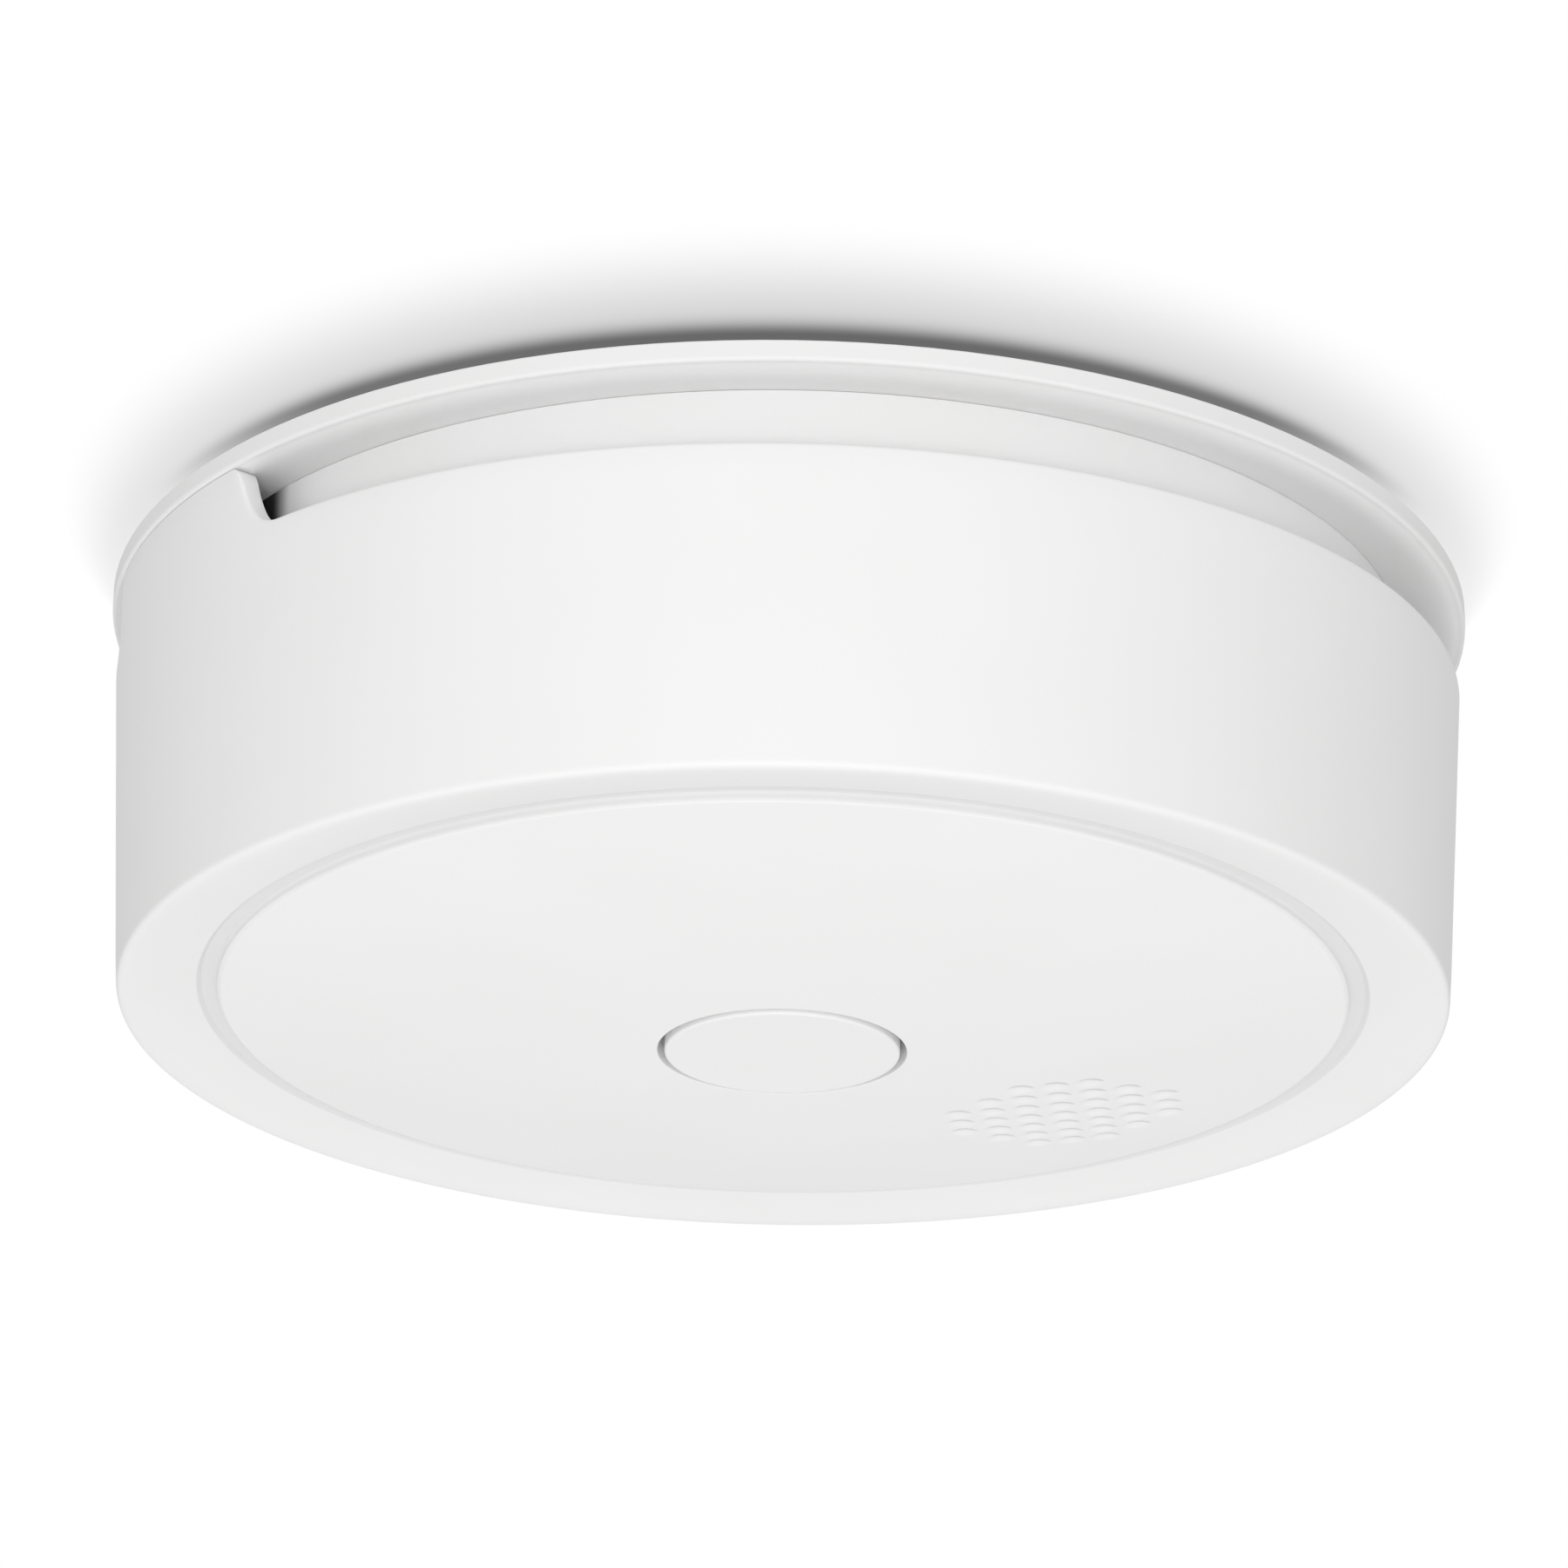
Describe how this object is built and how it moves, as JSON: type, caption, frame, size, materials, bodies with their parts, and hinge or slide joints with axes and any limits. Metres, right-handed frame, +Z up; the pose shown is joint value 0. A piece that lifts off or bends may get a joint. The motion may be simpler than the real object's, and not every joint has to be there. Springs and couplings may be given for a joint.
{
  "type": "smoke detector",
  "caption": "Round white ceiling smoke alarm: bayonet base with screw slots, deep drum cover with side smoke inlets, domed face, sprung test button and sounder dimples.",
  "frame": {"origin": "centre of the mounting base's ceiling face, in the plane that touches the ceiling", "axes": "+Z up into the ceiling; the alarm hangs towards -Z; +X and -Y are along the face, with one smoke inlet facing mostly -Y"},
  "size_m": [0.1192, 0.1192, 0.0402],
  "materials": {
    "cover_white": "fine moulded texture, white",
    "shell_white": "moulded, white",
    "zinc_steel": "zinc plated",
    "spring_steel": "drawn wire",
    "black_plastic": "moulded, black",
    "plunger_plastic": "moulded, ivory",
    "board_laminate": "green solder mask",
    "chip_epoxy": "moulded epoxy",
    "tinned_metal": "tin plated",
    "component_body": "ceramic chips with tinned ends",
    "capacitor_sleeve": "heat-shrunk sleeve",
    "ferrite": "sintered ferrite",
    "copper_wire": "enamelled copper",
    "led_body": "small lamp body",
    "chamber_plastic": "dead black, light absorbing",
    "screen_metal": "etched mesh",
    "led_lens_blue": "tinted lens",
    "led_lens_dark": "dark filter lens",
    "horn_plastic": "moulded, natural",
    "foam_rubber": "closed-cell foam",
    "brass_disc": "rolled brass",
    "piezo_ceramic": "silvered ceramic",
    "battery_jacket": "plain printed sleeve, no marks",
    "clear_guide": "clear acrylic"
  },
  "bodies": {
    "base": {"mounting_base": "shell_white"},
    "head": {"rear_housing": "shell_white", "front_cover": "cover_white", "housing_screws": "zinc_steel", "button_spring": "spring_steel", "tact_switch": "black_plastic", "circuit_board": "board_laminate", "controller_chip": "chip_epoxy", "chip_leads": "tinned_metal", "board_components": "component_body", "electrolytic_capacitors": "capacitor_sleeve", "inductor_core": "ferrite", "inductor_winding": "copper_wire", "status_led": "led_body", "chamber_base": "chamber_plastic", "chamber_cap": "chamber_plastic", "insect_screen": "screen_metal", "infrared_emitter": "led_lens_blue", "photodiode": "led_lens_dark", "horn_body": "horn_plastic", "horn_gasket": "foam_rubber", "piezo_plate": "brass_disc", "piezo_ceramic": "piezo_ceramic", "piezo_contacts": "spring_steel", "battery": "battery_jacket", "battery_terminals": "tinned_metal", "battery_clips": "tinned_metal", "clip_plate": "black_plastic", "clip_leads": "tinned_metal"},
    "button": {"test_button": "cover_white", "light_guide": "clear_guide"},
    "plunger": {"switch_plunger": "plunger_plastic"}
  },
  "joints": [
    {"name": "head_twist", "type": "hinge", "parent": "base", "child": "head", "pos_m": [0, 0, 0], "axis": [0, 0, -1], "range_deg": [0, 15]},
    {"name": "button_press", "type": "slide", "parent": "head", "child": "button", "axis": [0, 0, 1], "range_m": [0, 0.0008], "stiffness_N_per_m": 1000, "springref_m": -0.002, "deforming": ["button_spring"]},
    {"name": "plunger_press", "type": "slide", "parent": "head", "child": "plunger", "axis": [0, 0, 1], "range_m": [0, 0.0008]}
  ],
  "couplings": [
    {"joint": "plunger_press", "follows": "button_press", "ratio": 1}
  ]
}
